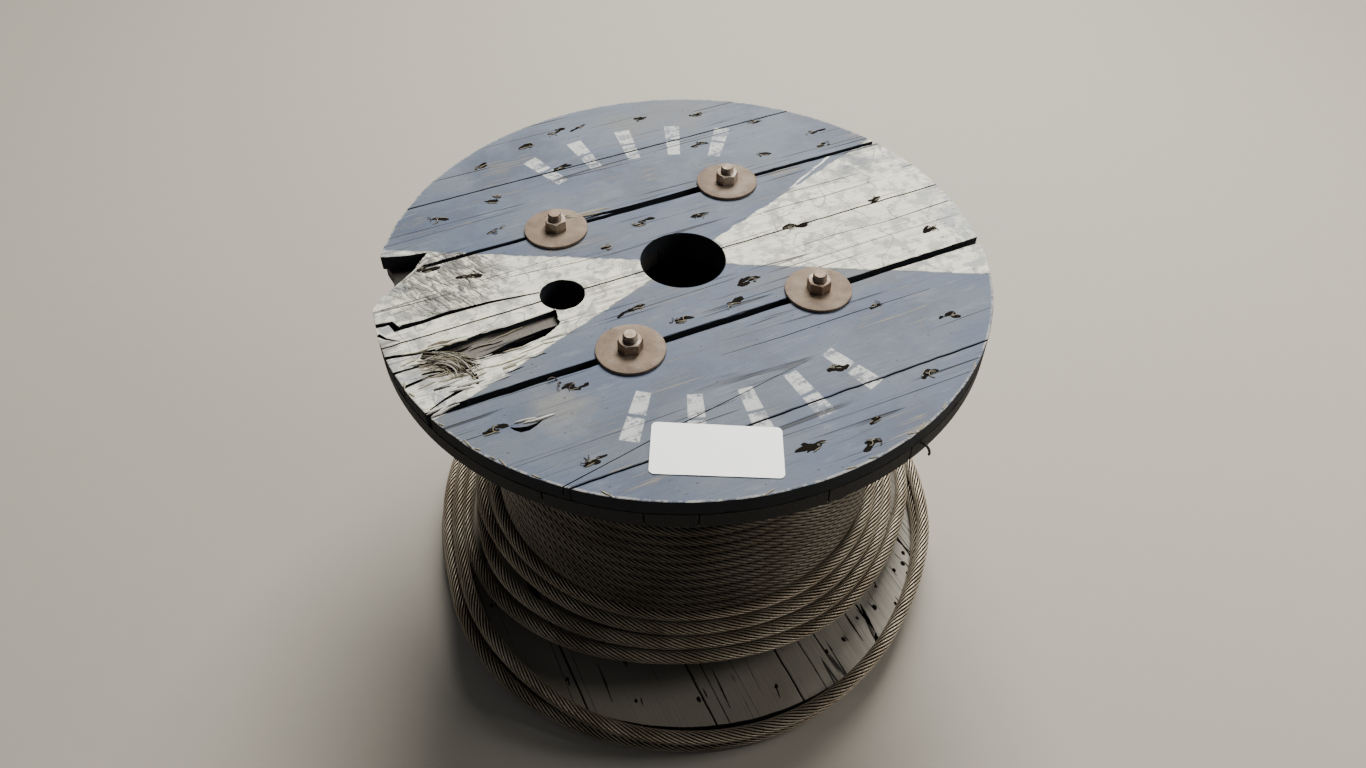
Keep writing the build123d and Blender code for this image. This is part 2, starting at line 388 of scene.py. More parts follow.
def wire_finish(name, along_count, round_count, shade=1.0):
    """Wire rope: tan steel, near-black in the grooves between strands as painted shade. The counts are the
    strands met along the map's axes.
    """
    f = Finish(name)
    uv = f.add("ShaderNodeUVMap", {"uv_map": "lay"})
    crest = (f.axis(uv, "X") * along_count + f.axis(uv, "Y") * round_count).wave()
    cloud = f.noise(f.place, 14, 4, 0.6)
    grit = f.noise(f.place, 420, 3, 0.6)
    brown = tint((0.33, 0.265, 0.19), shade)
    tan = tint((0.56, 0.485, 0.375), shade)
    rust = tint((0.15, 0.10, 0.06), shade)
    steel = f.coats(brown, (tan, cloud.above(0.5, 0.18)), (rust, grit.above(0.58, 0.10) * 0.55))
    # Painted shade: near-black in the grooves between strands.
    base = f.mix((0.010, 0.008, 0.006), steel, crest.above(0.38, 0.22))
    height = 1 - (1 - crest) * (1 - crest) + grit * 0.10
    return f.done(base, 0.50 - 0.20 * crest + 0.16 * cloud, height, 0.0009, 0.5)


def plain_finish(name, colour, roughness, patch, shine=0.5):
    """One colour, darker in soft patches."""
    f = Finish(name)
    base = f.mix(colour, tint(colour, 1 - patch), f.noise(f.place, 30, 4, 0.6))
    return f.done(base, roughness, f.noise(f.place, 500, 3), 0.0001, shine=shine)


paint = painted_finish("painted_boards")
bare_outer = bare_finish("bare_outer_boards", board_angle)
bare_inner = bare_finish("bare_inner_boards", board_angle + math.pi / 2)
# Painted shade: the inner ply of the top flange, where it shows at the rim, seams and notch, is near-black.
inner_painted_shade = bare_finish("dark_inner_boards", board_angle + math.pi / 2, (0.055, 0.046, 0.036),
                         (0.020, 0.017, 0.014))
sawn_staves = stave_finish("staves")
washer_finish = rust_finish("washers", (0.235, 0.170, 0.118), (0.140, 0.093, 0.062), (0.31, 0.25, 0.19), 0.1)
bolt_finish = rust_finish("bolts", (0.24, 0.17, 0.12), (0.10, 0.068, 0.048), (0.48, 0.43, 0.37), 0.6)
nail_finish = rust_finish("nails", (0.060, 0.048, 0.036), (0.022, 0.018, 0.015), (0.12, 0.10, 0.08))
split_finish = plain_finish("split_wood", (0.42, 0.37, 0.265), 0.8, 0.6)
sliver_finish = plain_finish("painted_slivers", (0.70, 0.68, 0.61), 0.5, 0.4)
# Painted shade: near-black patches laid on the wood where holes, hollows and splits are.
hole_painted_shade = plain_finish("dark_gouges", (0.014, 0.012, 0.010), 0.9, 0.25, 0.0)
label_finish = plain_finish("label", (0.99, 1.0, 1.0), 0.4, 0.02)
loose_finish = wire_finish("wire_rope_loose", 0, strand_count)
strands_round_pack = round(2 * math.pi * pack_radius * strand_count / lay_length)
# The wound pack's colour is darkened to 0.38: painted shade, partly its darker grease.
wound_finish = wire_finish("wire_rope_wound", strands_round_pack, pack_rows * strand_count / 2, 0.38)


def piece(name, bm, finish, sharp=35, outwards=False):
    """Makes a bmesh into an object that rides on the drum."""
    if outwards:
        bmesh.ops.recalc_face_normals(bm, faces=bm.faces)
    mesh = bpy.data.meshes.new(name)
    bm.to_mesh(mesh)
    bm.free()
    mesh.shade_smooth()
    mesh.set_sharp_from_angle(angle=math.radians(sharp))
    mesh.materials.append(finish)
    obj = bpy.data.objects.new(name, mesh)
    bpy.context.collection.objects.link(obj)
    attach(obj, body)
    return obj


def dress(prefix, finish):
    """Gives the CAD nodes of one kind their finish."""
    for name, node in frame["nodes"].items():
        if name.startswith(prefix):
            node.data.materials.clear()
            node.data.materials.append(finish)


def faces_at(verts):
    """The faces that meet any of the vertices, each once and always in the same order."""
    return list(dict.fromkeys(face for vertex in verts for face in vertex.link_faces))


def polar(azimuth, radius, height):
    turn = math.radians(azimuth)
    return Vector((radius * math.cos(turn), radius * math.sin(turn), height)) / 1000


# Loose rope: its stations' first azimuth and step in degrees, then their radii and heights in millimetres
stations = (
    (96, 24, ((249.5, 144), (250.5, 137), (254, 134.5), (260, 137), (265, 137), (262, 134), (257, 133),
              (252, 133.4), (252.5, 133.4), (261, 134.5), (264, 136.5), (261, 136), (260, 135),
              (260, 133), (261, 131))),
    (96, 24, ((264, 128), (268, 125), (275, 122), (287, 121), (286, 119), (273, 117.5), (267.5, 117.5),
              (264.7, 120.8), (265, 121), (273, 120), (277, 120), (277, 120), (277, 119), (278, 118),
              (280, 117))),
    (96, 24, ((284, 115), (288, 112), (292, 100), (291, 85), (289, 82), (294, 92), (286, 104),
              (276.8, 107.8), (277.3, 108), (289, 107), (288, 103.5), (290, 104), (292, 103), (296, 102),
              (300, 100))),
    (96, 24, ((306, 98), (313, 95), (318, 80), (320, 52), (316, 47.5), (308, 62), (300, 84), (289, 94.4),
              (289.5, 94.8), (300, 92), (302, 88.5), (318, 86), (327, 85), (333, 84), (338, 84))),
    (96, 12, ((345, 79), (347, 76.5), (348, 74), (347, 71), (345, 68.5), (341, 67), (335.5, 66),
              (327, 66), (325.5, 65.5), (331, 63), (343, 62), (350.5, 58), (359, 53), (366.5, 43),
              (366.8, 35), (366.8, 30.5), (367.3, 31), (370, 47), (366.5, 64), (356, 65.5), (351, 64.6),
              (349.5, 64.4), (345, 64.4), (341, 64.5), (341, 64.8), (341.5, 65), (342, 65.5), (343, 66),
              (346, 66), (347, 64))),
    (96, 12, ((349, 60), (351, 56.5), (353, 53), (355, 50), (357, 48), (356, 47), (350.5, 47), (345, 47),
              (342.5, 47), (346, 47), (360, 50.5), (368, 33), (366, 15), (365, 9.6), (364.8, 9.2),
              (364.8, 9.4), (365, 12), (366.5, 30), (363, 46.6), (354, 48), (349, 47), (344, 47),
              (338.5, 47), (337, 47), (336, 47), (336, 47), (337, 47.2), (338.5, 48), (340, 48.4))),
)


def rope_route():
    """A smooth line: off the pack behind the drum, four turns about the pack, then two about the rim."""
    points = []
    for first, step, turn in stations:
        spread = 1 / math.cos(math.radians(step / 2))
        for number, (radius, height) in enumerate(turn):
            points.append(polar(first + step * number, radius * spread, height))
    curve = bpy.data.curves.new("rope_route", "CURVE")
    curve.dimensions = "3D"
    curve.resolution_u = 20
    spline = curve.splines.new("NURBS")
    spline.points.add(len(points) - 1)
    for point, place in zip(spline.points, points):
        point.co = (*place, 1)
    spline.order_u = 3
    spline.use_endpoint_u = True
    holder = bpy.data.objects.new("rope_route", curve)
    bpy.context.collection.objects.link(holder)
    line = bpy.data.meshes.new_from_object(holder.evaluated_get(bpy.context.evaluated_depsgraph_get()))
    path = [vertex.co.copy() for vertex in line.vertices]
    bpy.data.objects.remove(holder)
    return path


def even_steps(path, step):
    """Points at equal steps along a fine line."""
    steps = [path[0].copy()]
    left = step
    for start, end in zip(path, path[1:]):
        run = (end - start).length
        while run > 0 and left <= run:
            start = start + (end - start) * (left / run)
            steps.append(start.copy())
            run = (end - start).length
            left = step
        left -= run
    return steps


def sweep(bm, path, around, section):
    """A tube along a path. section(number along, number round) gives the radius and the angle there."""
    count = len(path) - 1
    bm.loops.layers.uv.new("lay")
    bmesh.ops.create_grid(bm, x_segments=count, y_segments=around, size=1, calc_uvs=True)
    for vertex in bm.verts:
        along = round((vertex.co.x + 1) / 2 * count)
        side = round((vertex.co.y + 1) / 2 * around)
        ahead = path[min(along + 1, count)] - path[max(along - 1, 0)]
        out = ahead.cross(Vector((0, 0, 1))).normalized()
        up = out.cross(ahead).normalized()
        reach, angle = section(along, side)
        vertex.co = path[along] + (out * math.cos(angle) + up * math.sin(angle)) * reach
    bmesh.ops.remove_doubles(bm, verts=bm.verts, dist=1e-6)
    bmesh.ops.holes_fill(bm, edges=[edge for edge in bm.edges if edge.is_boundary], sides=0)


rope_step = 0.0062
rope_path = even_steps(rope_route(), rope_step)
strand_shape = (0, 0.0003, 0.0015, 0.0003)
rope_sides = strand_count * len(strand_shape)
band_sides = 28


def rope_section(along, side):
    """Strands that wind about the rope, each with its crest, its flanks and the groove beside it."""
    turn = 2 * math.pi * (side / rope_sides - along * rope_step / lay_length)
    return rope_diameter / 2 - strand_shape[side % len(strand_shape)], turn


def band_section(along, side):
    """Turns of thin wire bound about the rope."""
    return rope_diameter / 2 + 0.0004 + 0.0005 * (along % 2), 2 * math.pi * side / band_sides


bm = bmesh.new()
sweep(bm, rope_path, rope_sides, rope_section)
loose_rope = piece("loose_wire_rope", bm, loose_finish, 80, outwards=True)
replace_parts(loose_rope, *[f"loose_turn_{number}" for number in range(1, 7)])

bm = bmesh.new()
sweep(bm, even_steps(rope_path[-6:], 0.002)[:12], band_sides, band_section)
seizing = piece("rope_end_seizing", bm, bolt_finish, 80, outwards=True)
rope_path[::3] + [rope_path[-1]]


def rope_pack():
    """The wound rope: a ridge for each row, the outer layer stopping short above the lower flange."""
    arcs = 8
    steps = 176
    inner_radius = 0.1955
    outer_layer = 0.25797
    layer_under = 0.24281
    rows_left_out = 6
    bm = bmesh.new()
    bm.loops.layers.uv.new("lay")
    bmesh.ops.create_grid(bm, x_segments=steps, y_segments=pack_rows * arcs, size=1, calc_uvs=True)
    for vertex in bm.verts:
        along = round((vertex.co.x + 1) / 2 * steps)
        place = round((vertex.co.y + 1) / 2 * pack_rows * arcs)
        row = min(place // arcs, pack_rows - 1)
        bend = math.pi * ((place - row * arcs) / arcs - 0.5)
        outer = (outer_layer if row >= rows_left_out else layer_under) - rope_diameter / 2
        turn = 2 * math.pi * (along % steps) / steps
        slack = 0.0005 * noise.noise(Vector((3 * math.cos(turn), 3 * math.sin(turn), row * 1.7)))
        reach = outer + (rope_diameter / 2 - 0.0001) * math.cos(bend) - abs(slack)
        height = lower_face + rope_diameter * (row + 0.5) + rope_diameter / 2 * math.sin(bend) * 0.995
        vertex.co = (reach * math.cos(turn), reach * math.sin(turn), height)
    bmesh.ops.remove_doubles(bm, verts=bm.verts, dist=1e-6)
    loops = []
    for level in (min, max):
        rim = [edge for edge in bm.edges if edge.is_boundary]
        edge_height = level(edge.verts[0].co.z for edge in rim)
        ring = [edge for edge in rim if abs(edge.verts[0].co.z - edge_height) < 1e-4]
        made = bmesh.ops.extrude_edge_only(bm, edges=ring)["geom"]
        for vertex in [item for item in made if isinstance(item, bmesh.types.BMVert)]:
            reach = math.hypot(vertex.co.x, vertex.co.y)
            vertex.co.x *= inner_radius / reach
            vertex.co.y *= inner_radius / reach
        loops += [item for item in made if isinstance(item, bmesh.types.BMEdge)]
    bmesh.ops.bridge_loops(bm, edges=[edge for edge in loops if edge.is_boundary])
    return piece("wound_wire_rope", bm, wound_finish, 60, outwards=True)


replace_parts(rope_pack(), "wound_rope")


def board_point(along, across):
    """A point given along and across the painted boards."""
    return Matrix.Rotation(board_angle, 3, "Z") @ Vector((along, across, 0))


def crack_cutter(bm, points, top, depth):
    """A wedge that cuts a crack. Each point is x, y and the crack's width, in millimetres."""
    clear = 0.002
    count = len(points) - 1
    made = bmesh.ops.create_grid(bm, x_segments=count, y_segments=1, size=1)["verts"]
    for vertex in made:
        number = round((vertex.co.x + 1) / 2 * count)
        side = vertex.co.y
        here = Vector(points[number][:2])
        before, after = points[max(number - 1, 0)], points[min(number + 1, count)]
        run = (Vector(after[:2]) - Vector(before[:2])).normalized()
        place = here + Vector((-run.y, run.x)) * side * points[number][2] / 2
        vertex.co = (place.x / 1000, place.y / 1000, top + clear)
    lowered = bmesh.ops.extrude_face_region(bm, geom=faces_at(made))["geom"]
    bmesh.ops.translate(bm, verts=[item for item in lowered if isinstance(item, bmesh.types.BMVert)],
                        vec=(0, 0, -depth - clear))


def across_boards(place, turn):
    return place[1] * math.cos(turn) - place[0] * math.sin(turn)


def crack_tools(cracks, top, turn):
    """One cutter for each crack, with its extent across boards that run along the given direction."""
    margin = 0.006
    tools = []
    for depth, points in cracks:
        bm = bmesh.new()
        crack_cutter(bm, points, top, depth)
        bmesh.ops.recalc_face_normals(bm, faces=bm.faces)
        mesh = bpy.data.meshes.new("crack")
        bm.to_mesh(mesh)
        bm.free()
        tool = bpy.data.objects.new("crack", mesh)
        bpy.context.collection.objects.link(tool)
        places = [across_boards(point, turn) / 1000 for point in points]
        tools.append((tool, min(places) - margin, max(places) + margin))
    return tools


def wear_edges(bm, rounding=0.0013, ragged=0.0009):
    """Breaks the long level edges into short runs, shakes them out of true and rounds every edge."""
    longest_whole = 0.02
    short_run = 0.011
    hub_reach = 0.06
    bolt_reach = 0.012
    level = [item for item in bm.edges if abs(item.verts[0].co.z - item.verts[1].co.z) < 1e-4]
    for item in sorted(level, key=lambda item: -item.calc_length()):
        if item.is_valid and item.calc_length() > longest_whole:
            bmesh.ops.subdivide_edges(bm, edges=[item], cuts=int(item.calc_length() / short_run))
    for vertex in bm.verts:
        flat = Vector((vertex.co.x, vertex.co.y, 0))
        if flat.length < hub_reach or min((flat - spot).length for spot in bolt_spots) < bolt_reach:
            continue
        shake = noise.noise_vector(flat * 95) * ragged + noise.noise_vector(flat * 22) * ragged * 0.5
        moved = flat + Vector((shake.x, shake.y, 0))
        if flat.length > flange_radius - 0.001:
            moved = flat * (1 - abs(shake.x) * 1.6 / flat.length)
        vertex.co.x, vertex.co.y = moved.x, moved.y
    corner = math.radians(40)
    sharp = [item for item in bm.edges if item.is_manifold and item.calc_face_angle(0) > corner]
    bmesh.ops.bevel(bm, geom=sharp, offset=rounding, offset_type="OFFSET", segments=2, profile=0.5,
                    affect="EDGES", clamp_overlap=True, material=-1)


def volume_of(mesh):
    """The volume that a closed mesh holds."""
    bm = bmesh.new()
    bm.from_mesh(mesh)
    volume = bm.calc_volume()
    bm.free()
    return volume


def cut_cracks(bm, tools, turn):
    """The board as a new mesh, with every crack cut that comes near it.

    A cut that goes wrong leaves too little wood or too much. The cracks are then nudged and cut again.
    """
    least_left, most_left = 0.85, 1.001
    places = [across_boards(vertex.co, turn) for vertex in bm.verts]
    whole = bm.calc_volume()
    mesh = bpy.data.meshes.new("blank")
    bm.to_mesh(mesh)
    bm.free()
    blank = bpy.data.objects.new("blank", mesh)
    bpy.context.collection.objects.link(blank)
    cutters = [tool for tool, low, high in tools if low < max(places) and high > min(places)]
    for tool in cutters:
        cut = blank.modifiers.new("crack", "BOOLEAN")
        cut.operation = "DIFFERENCE"
        cut.solver = "EXACT"
        cut.object = tool
    for nudge in (0, 0.00003, 0.00007, 0.00012):
        for tool in cutters:
            tool.location.x = nudge
        made = bpy.data.meshes.new_from_object(blank.evaluated_get(bpy.context.evaluated_depsgraph_get()))
        if least_left * whole < volume_of(made) < most_left * whole:
            break
    else:
        made = mesh
    bpy.data.objects.remove(blank)
    return made


def worn_board(node, name, finish, tools, turn, wear=0.0):
    """A board with its edges rounded and uneven, its cracks cut, and how worn its paint is."""
    bm = bmesh.new()
    bm.from_mesh(frame["nodes"][node].data)
    bmesh.ops.remove_doubles(bm, verts=bm.verts, dist=1e-6)
    bmesh.ops.dissolve_limit(bm, angle_limit=math.radians(0.4), verts=bm.verts, edges=bm.edges)
    wear_edges(bm)
    tone = bm.verts.layers.float.new("tone")
    for vertex in bm.verts:
        vertex[tone] = wear
    made = cut_cracks(bm, tools, turn)
    bm = bmesh.new()
    bm.from_mesh(made)
    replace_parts(piece(name, bm, finish, 14), node)


# Cracks: a depth in metres, then points with x, y and the width there, in millimetres
top_cracks = (
    (0.019, ((-162, -59, 2), (-215, -75, 4), (-261, -94, 6), (-286, -108, 6), (-305, -116, 8),
             (-311, -120, 9), (-320, -110, 7), (-327, -113, 6), (-339, -116, 7))),
    (0.017, ((-264, -151, 2), (-284, -158, 4), (-305, -162, 4.5), (-315, -165, 5), (-330, -168, 6))),
    (0.0175, ((-135, -106, 4), (-149, -117, 13), (-164, -129, 18), (-185, -142, 17), (-203, -153, 12),
              (-220, -163, 3))),
    (0.012, ((-203, -158, 1.5), (-239, -177, 2.5), (-261, -190, 3), (-279, -202, 4), (-297, -214, 5),
             (-309, -219, 6))),
    (0.01, ((-240, -166, 1), (-272, -175, 2.5), (-292, -183, 3), (-306, -190, 5), (-317, -194, 6))),
    (0.009, ((-215, -187, 2), (-216, -198, 5), (-228, -211, 5), (-243, -225, 3), (-255, -239, 1.5))),
    (0.007, ((-330, -129, 5), (-320, -135, 3), (-304, -139, 1))),
    (0.005, ((-223, -40, 0.5), (-172, -22, 1.2), (-120, -4, 0.9), (-74, 15, 0.5))),
    (0.008, ((-171, -262, 1), (-166, -264, 4), (-160, -265, 7), (-153, -263, 6), (-146, -258, 3),
             (-140, -252, 0.8))),
    (0.011, ((-125, -345, 1.6), (-60, -299, 1.0), (0, -256, 1.3), (66, -212, 1.0), (131, -168, 0.4))),
    (0.006, ((60, 70, 0.4), (120, 101, 1.2), (180, 126, 1.3), (250, 161, 0.5))),
    (0.006, ((110, 10, 0.4), (180, 46, 1.1), (250, 74, 1.2), (330, 115, 1.8))),
    (0.005, ((-200, 160, 0.4), (-120, 200, 1.1), (-40, 236, 0.9), (30, 270, 0.4))),
    (0.007, ((40, -160, 0.4), (110, -130, 1.1), (190, -92, 1.2), (280, -52, 0.6))),
    (0.018, ((-120, 77, 1), (-102, 87, 4), (-66, 101, 7), (-41, 113, 6), (-13, 125, 8), (22, 143, 7),
             (37, 149, 3))),
)
lower_cracks = (
    (0.012, ((243, -178, 1.5), (250, -203, 6), (255, -222, 7), (262, -243, 5))),
    (0.008, ((330, -100, 1.0), (300, -60, 3.0), (288, -30, 0.8))),
    (0.008, ((240, -235, 1.0), (226, -206, 2.8), (214, -180, 0.6))),
    (0.008, ((-300, -150, 1.0), (-286, -120, 2.8), (-270, -86, 0.8))),
    (0.008, ((60, -330, 0.8), (48, -300, 2.5), (38, -276, 0.6))),
    (0.008, ((-90, -322, 0.8), (-100, -296, 2.2), (-112, -268, 0.6))),
)
top_tools = crack_tools(top_cracks, top_face, board_angle)
lower_tools = crack_tools(lower_cracks, lower_face, board_angle + math.pi / 2)
extra_wear = (0.0, 0.008, 0.035, 0.03, 0.0, -0.01)
for number, wear in enumerate(extra_wear, 1):
    worn_board(f"top_outer_board_{number}", f"painted_board_{number}", paint, top_tools,
               board_angle, wear)
for number in range(1, 7):
    worn_board(f"bottom_inner_board_{number}", f"lower_board_{number}", bare_inner,
               lower_tools, board_angle + math.pi / 2)
for tool, low, high in top_tools + lower_tools:
    bpy.data.objects.remove(tool)

dress("top_inner_board", inner_painted_shade)
dress("bottom_outer_board", bare_outer)
dress("barrel_staves", sawn_staves)
dress("nut", bolt_finish)
dress("bottom_washer", washer_finish)


def turned(name, profile, centre, finish, steps, closed=True):
    """Spins a profile of radius and height, in millimetres, about an upright axis."""
    bm = bmesh.new()
    corners = []
    for radius, height in profile:
        corners.append(bm.verts.new((centre.x + radius / 1000, centre.y, height / 1000)))
    for first, second in zip(corners, corners[1:] + (corners[:1] if closed else [])):
        bm.edges.new((first, second))
    bmesh.ops.spin(bm, geom=bm.verts[:] + bm.edges[:], cent=(centre.x, centre.y, 0), axis=(0, 0, 1),
                   angle=2 * math.pi, steps=steps, use_merge=True)
    bmesh.ops.remove_doubles(bm, verts=bm.verts, dist=2e-6)
    return piece(name, bm, finish, 35, outwards=True)


washer_profile = ((8.6, 498), (36.8, 498), (37.7, 498.5), (38, 499.4), (38, 500.8), (37.6, 501.6),
                  (36.6, 502), (9.6, 502), (8.6, 501.4))
thread = []
for number in range(9):
    thread += [(8.0, 504.5 + 2 * number), (7.15, 505.5 + 2 * number)]
bolt_profile = [(0, 0.5), (17, 0.5), (18, 1.5), (18, 5.5), (17, 6.5), (8, 6.5), (8, 503.5), *thread,
                (6.6, 522.9), (0, 522.9)]
for number, spot in enumerate(bolt_spots, 1):
    washer = turned(f"plate_washer_{number}", washer_profile, spot, washer_finish, 96)
    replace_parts(washer, f"top_washer_{number}")
    bolt = turned(f"through_bolt_{number}", bolt_profile, spot, bolt_finish, 32, False)
    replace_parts(bolt, f"tie_bolt_{number}")


def shard(bm, centre, turn, length, width, height, tilt=0.0):
    """A thin flake or gouge that tapers to both ends, lying along a direction."""
    shape = (Matrix.Translation(centre) @ Matrix.Rotation(turn, 4, "Z") @ Matrix.Rotation(-tilt, 4, "Y")
             @ Matrix.Diagonal((length / 2, width / 2, height / 2, 1)) @ Matrix.Rotation(math.pi / 2, 4, "Y"))
    for vertex in bmesh.ops.create_uvsphere(bm, u_segments=6, v_segments=8, radius=1, matrix=shape)["verts"]:
        shake = noise.noise_vector(vertex.co * 70) * length * 0.07
        shake += noise.noise_vector(vertex.co * 300) * width * 0.25
        vertex.co += Vector((shake.x, shake.y, shake.z * 0.3))


nail_marks = ((-139, 281), (-178, 268), (-201, 237), (-162, 184), (-270, 184), (-302, 74), (-226, 54),
              (-57, 67), (22, 83), (-90, 19), (23, 315), (96, 297), (20, 241), (172, 270), (191, 241),
              (102, 215), (80, -37), (54, -80), (-50, -83), (-5, -105), (216, -79), (299, -97),
              (-115, -206), (-189, -264), (-87, -307), (159, -179), (255, -185), (193, -250), (130, -284),
              (190, -280), (-250, -30), (-300, -20), (130, 60), (240, 120), (300, 60), (-230, 120),
              (-60, 300))
nails = bmesh.new()
gouges_painted_shade = bmesh.new()
flakes = bmesh.new()
slivers = bmesh.new()


def curl(bm, place, reach, thick, turn, tilt, bend):
    """A bent wire or fibre: a thin arc that lies on the face with its middle at the place."""
    first = set(bm.verts)
    upright = Matrix.Translation((reach, 0, 0)) @ Matrix.Rotation(math.pi / 2, 4, "X")
    ring = bmesh.ops.create_circle(bm, cap_ends=True, segments=5, radius=thick, matrix=upright)["verts"]
    bmesh.ops.rotate(bm, cent=(0, 0, 0), matrix=Matrix.Rotation(-bend / 2, 3, "Z"), verts=ring)
    bmesh.ops.spin(bm, geom=faces_at(ring), cent=(0, 0, 0), axis=(0, 0, 1), angle=bend, steps=9)
    made = [vertex for vertex in bm.verts if vertex not in first]
    shape = (Matrix.Translation(place) @ Matrix.Rotation(turn, 4, "Z") @ Matrix.Rotation(tilt, 4, "X")
             @ Matrix.Translation((-reach, 0, 0)))
    bmesh.ops.transform(bm, matrix=shape, verts=made)


def blot(bm, place, length, width, turn):
    """A flat dark patch with an uneven edge: painted shade where a hole is."""
    shape = (Matrix.Translation(place) @ Matrix.Rotation(turn, 4, "Z")
             @ Matrix.Diagonal((length / 2, width / 2, 0.0004, 1)))
    for vertex in bmesh.ops.create_icosphere(bm, subdivisions=2, radius=1, matrix=shape)["verts"]:
        vertex.co += noise.noise_vector(vertex.co * 320) * Vector((0.0012, 0.0012, 0))


def scatter(spread_x, spread_y):
    return Vector((chance.uniform(-spread_x, spread_x), chance.uniform(-spread_y, spread_y), 0)) / 1000


def nail_mark(x, y):
    """Torn hollows about rusted nails, laid as flat dark pieces of painted shade, strung out along the board,
    with fibres lifted at their edges.
    """
    mark = Vector((x, y, 0)) / 1000 + Vector((0, 0, top_face))
    turn = board_angle + chance.choice((0, math.pi)) + chance.uniform(-0.2, 0.2)
    ahead = Vector((math.cos(turn), math.sin(turn), 0))
    for count in range(chance.randint(2, 4)):
        hole = mark + ahead * (chance.uniform(-0.005, 0.005) + 0.005 * count) + scatter(2, 4)
        lean = turn + chance.uniform(-0.45, 0.45)
        size = chance.uniform(0.009, 0.020)
        wide = size * chance.uniform(0.26, 0.44)
        side = Vector((-math.sin(lean), math.cos(lean), 0)) * wide * chance.choice((-0.45, 0.45))
        shard(gouges_painted_shade, hole, lean, size, wide, 0.0008)
        if count < 2:
            lifted = hole + side + Vector((0, 0, 0.0006))
            askew = lean + chance.uniform(-0.25, 0.25)
            length = size * chance.uniform(0.5, 0.9)
            width = chance.uniform(0.0006, 0.0013)
            shard(flakes, lifted, askew, length, width, 0.0012, chance.uniform(-0.05, 0.15))
    bmesh.ops.create_cone(nails, cap_ends=True, segments=10, radius1=0.0022, radius2=0.0017, depth=0.0020,
                          matrix=Matrix.Translation(mark + scatter(3, 3)))
    for count in range(chance.randint(0, 2)):
        wire = chance.choice((nails, flakes))
        spot = mark + scatter(6, 4) + Vector((0, 0, 0.0012))
        reach = chance.uniform(0.0028, 0.0055)
        turn, tilt = chance.uniform(0, 6.2), chance.uniform(-0.15, 0.15)
        curl(wire, spot, reach, 0.00045, turn, tilt, chance.uniform(1.8, 4.2))


for x, y in nail_marks:
    nail_mark(x, y)

# Holes and short splits in the lower flange, laid as flat dark patches of painted shade
lower_holes = ((297, -123, 7), (311, -112, 9), (315, -128, 6), (262, -183, 9), (291, -177, 6), (314, -94, 8),
               (236, -200, 6), (214, -232, 8), (268, -150, 5), (190, -250, 6), (-262, -180, 7),
               (-300, -96, 9), (120, -300, 7), (-60, -320, 6), (20, -318, 8), (-150, -290, 6))
grain_turn = board_angle + math.pi / 2
for x, y, length in lower_holes:
    hole = Vector((x / 1000, y / 1000, lower_face))
    blot(gouges_painted_shade, hole, length / 1000, length / 1400, grain_turn + chance.uniform(-0.4, 0.4))
    split = Vector((x, y, 0)) / 1000 + scatter(9, 9) + Vector((0, 0, lower_face))
    turn = grain_turn + chance.uniform(-0.2, 0.2)
    shard(gouges_painted_shade, split, turn, chance.uniform(0.010, 0.022), 0.0016, 0.0008)

# Bruises on the edge of the rim, as flat dark patches of painted shade, and lifted fibres there
bruises = (214, 219, 226, 232, 235, 237.5, 240, 247, 259, 283, 296, 302, 309, 313, 320, 331)
for azimuth in bruises:
    place = polar(azimuth + chance.uniform(-0.6, 0.6), 353.2, 497.2)
    tangent = math.radians(azimuth + 90)
    blot(gouges_painted_shade, place, chance.uniform(0.005, 0.011), chance.uniform(0.003, 0.005), tangent)
    place = polar(azimuth + chance.uniform(-1.5, 1.5), 352.4, 498.3)
    turn = tangent + chance.uniform(-0.5, 0.5)
    shard(flakes, place, turn, chance.uniform(0.007, 0.014), 0.0018, 0.0016)

# Torn fibres in the splintered end of the boards; the near-black ones are painted shade between the fibres
for count in range(60):
    along = chance.uniform(-338, -200)
    across = chance.uniform(-100, -18)
    length = chance.uniform(0.014, 0.045)
    spot = board_point(along / 1000, across / 1000)
    if spot.length > flange_radius - 0.010 - length / 2:
        continue
    sunk = -325 < along < -180 and -56 < across < -24
    spot.z = top_face + (-0.0062 if sunk else 0.0004)
    kind = chance.choice((flakes, slivers, gouges_painted_shade))
    turn = board_angle + chance.uniform(-0.14, 0.14)
    width, height = chance.uniform(0.0010, 0.0026), chance.uniform(0.0008, 0.0018)
    shard(kind, spot, turn, length, width, height, chance.uniform(-0.02, 0.04))

# A tuft of fibres in front of the splintered end, with flat dark patches of painted shade as the hollows
# about it, and two bent hooks
for count in range(54):
    x, y = chance.gauss(-0.238, 0.011), chance.gauss(-0.170, 0.006)
    spot = Vector((x, y, top_face + chance.uniform(0.0008, 0.004)))
    kind = chance.choice((flakes, flakes, flakes, nails, slivers))
    reach, thick = chance.uniform(0.022, 0.050), chance.uniform(0.0003, 0.0007)
    turn, tilt = 1.25 + chance.uniform(-0.3, 0.3), chance.uniform(-0.05, 0.05)
    curl(kind, spot, reach, thick, turn, tilt, chance.uniform(0.7, 1.5))
hollows = ((-252, -172, 34, 7, 0.05), (-236, -180, 38, 9, -0.25), (-215, -194, 20, 6, -1.1),
           (-262, -186, 22, 5, 0.3))
for x, y, length, width, lean in hollows:
    blot(gouges_painted_shade, Vector((x / 1000, y / 1000, top_face)), length / 1000, width / 1000, lean)
for spot, lean in ((Vector((-0.1303, -0.1973, 0.4975)), 0.5), (Vector((-0.1263, -0.2003, 0.498)), 1.9)):
    curl(nails, spot, 0.0055, 0.0009, lean, 0.9, 4.4)


def sliver(bm, start, end, width, thick, tilt=0.0):
    """A flake from one point to another, in millimetres."""
    first = Vector(start) / 1000
    run = Vector(end) / 1000 - first
    shard(bm, first + run / 2, math.atan2(run.y, run.x), run.length, width / 1000, thick / 1000, tilt)


